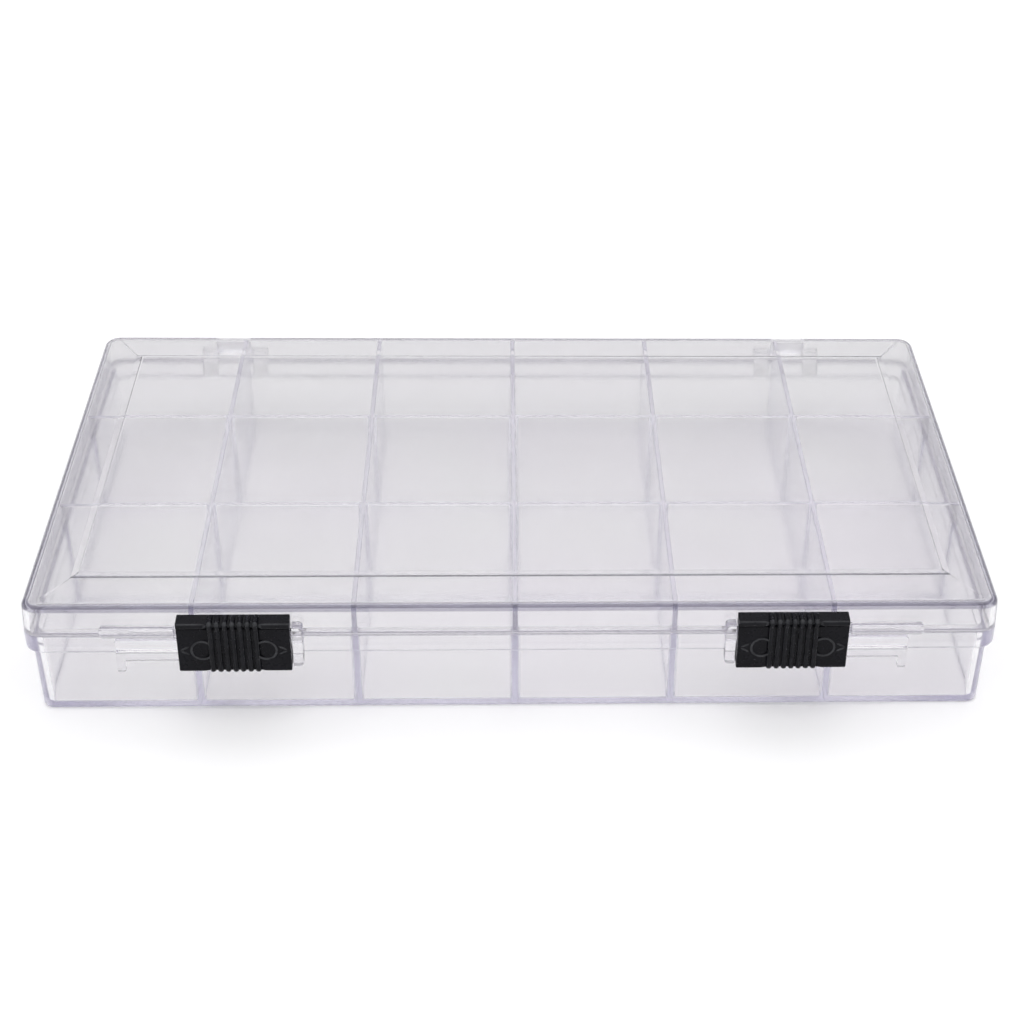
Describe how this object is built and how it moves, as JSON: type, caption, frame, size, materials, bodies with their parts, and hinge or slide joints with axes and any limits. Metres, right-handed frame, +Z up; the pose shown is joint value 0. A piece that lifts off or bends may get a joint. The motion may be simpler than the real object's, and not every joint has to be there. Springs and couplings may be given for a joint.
{
  "type": "parts organizer",
  "caption": "Flat clear plastic compartment box with a hinged lid and two black sliding latches, for sorting small parts.",
  "frame": {"origin": "on the surface it stands on, under the middle of the closed box", "axes": "+X along the length to the right, -Y the latch side, +Z up"},
  "size_m": [0.276, 0.171, 0.038],
  "materials": {
    "clear_styrene": "clear moulded polystyrene, polished, with a faint violet tint in the edges",
    "latch_black": "moulded black plastic, satin, with finger ribs",
    "pin_clear": "clear moulded plastic rod"
  },
  "bodies": {
    "tray": {"tray_shell": "clear_styrene", "long_divider_front": "clear_styrene", "long_divider_rear": "clear_styrene", "cross_divider_1": "clear_styrene", "cross_divider_2": "clear_styrene", "cross_divider_3": "clear_styrene", "cross_divider_4": "clear_styrene", "cross_divider_5": "clear_styrene", "hinge_pin_left": "pin_clear", "hinge_pin_right": "pin_clear"},
    "lid": {"lid": "clear_styrene"},
    "latch_left": {"latch_left": "latch_black"},
    "latch_right": {"latch_right": "latch_black"}
  },
  "joints": [
    {"name": "lid_hinge", "type": "hinge", "parent": "tray", "child": "lid", "pos_m": [0, 0.0829, 0.0278], "axis": [-1, 0, 0], "range_deg": [0, 180]},
    {"name": "latch_left_slide", "type": "slide", "parent": "tray", "child": "latch_left", "axis": [-1, 0, 0], "range_m": [0, 0.0155]},
    {"name": "latch_right_slide", "type": "slide", "parent": "tray", "child": "latch_right", "axis": [1, 0, 0], "range_m": [0, 0.0155]}
  ]
}
